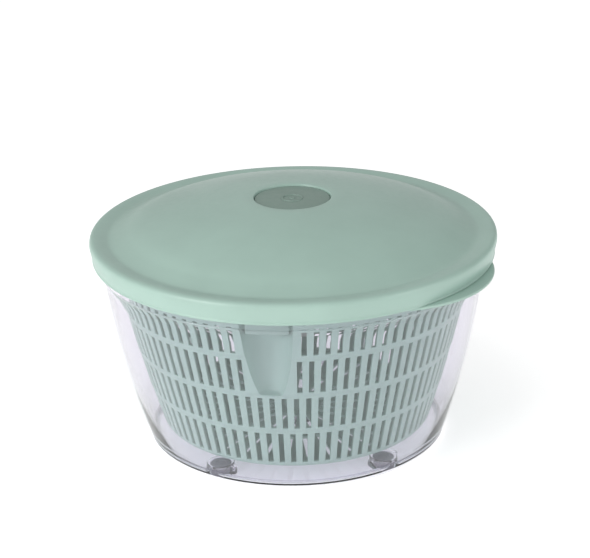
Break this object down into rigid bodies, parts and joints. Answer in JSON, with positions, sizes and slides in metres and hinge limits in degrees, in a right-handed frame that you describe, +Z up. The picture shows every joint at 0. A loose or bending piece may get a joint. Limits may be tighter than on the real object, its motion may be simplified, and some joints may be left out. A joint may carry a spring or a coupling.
{
  "type": "salad spinner",
  "caption": "Round salad spinner: clear tapered bowl, slotted basket on a pivot, domed lid with a finger tab and a flush pump knob that spins a drive plate.",
  "frame": {"origin": "on the spin axis, in the plane that the rubber feet stand on", "axes": "+Z up along the spin axis; +X from the axis to the lid's finger tab; +Y completes a right-handed frame"},
  "size_m": [0.2668, 0.26, 0.1584],
  "materials": {
    "clear_plastic": "clear, polished",
    "grey_rubber": "matt",
    "steel": "bright",
    "sage_basket_plastic": "satin",
    "sage_lid_plastic": "fine satin",
    "sage_knob_plastic": "fine satin",
    "white_plastic": "smooth",
    "clear_silicone": "translucent, smooth"
  },
  "bodies": {
    "bowl": {"bowl": "clear_plastic", "foot_pads": "grey_rubber", "basket_pivot_pin": "steel"},
    "basket": {"basket": "sage_basket_plastic", "basket_pivot_cup": "white_plastic"},
    "lid": {"lid_shell": "sage_lid_plastic", "lid_seal": "clear_silicone", "drive_housing": "white_plastic", "housing_screws": "steel", "spring_seat": "steel", "return_spring": "steel", "thrust_washer": "white_plastic", "retaining_ring": "steel"},
    "knob": {"knob_cap": "sage_knob_plastic", "knob_core": "white_plastic", "twisted_spindle": "steel", "spindle_pin": "steel", "stop_collar": "white_plastic", "stop_pin": "steel"},
    "drive_nut": {"drive_nut": "white_plastic"},
    "drive_plate": {"drive_plate": "sage_basket_plastic", "hub_bush": "white_plastic", "clutch_ring": "white_plastic", "spindle_cup": "white_plastic", "cup_screws": "steel"}
  },
  "joints": [
    {"name": "lid_lift", "type": "slide", "parent": "bowl", "child": "lid", "axis": [0, 0, 1], "range_m": [0, 0.1]},
    {"name": "basket_spin", "type": "hinge", "parent": "bowl", "child": "basket", "pos_m": [0, 0, 0.016], "axis": [0, 0, 1], "continuous": true},
    {"name": "knob_press", "type": "slide", "parent": "lid", "child": "knob", "axis": [0, 0, 1], "range_m": [0, 0.026], "deforming": ["return_spring"]},
    {"name": "nut_spin", "type": "hinge", "parent": "lid", "child": "drive_nut", "pos_m": [0, 0, 0.1208], "axis": [0, 0, 1], "range_deg": [-235, 0]},
    {"name": "plate_spin", "type": "hinge", "parent": "lid", "child": "drive_plate", "pos_m": [0, 0, 0.1215], "axis": [0, 0, 1], "continuous": true}
  ],
  "couplings": [
    {"joint": "nut_spin", "follows": "knob_press", "rad_per_m": -157.08},
    {"joint": "plate_spin", "follows": "basket_spin", "ratio": 1}
  ]
}
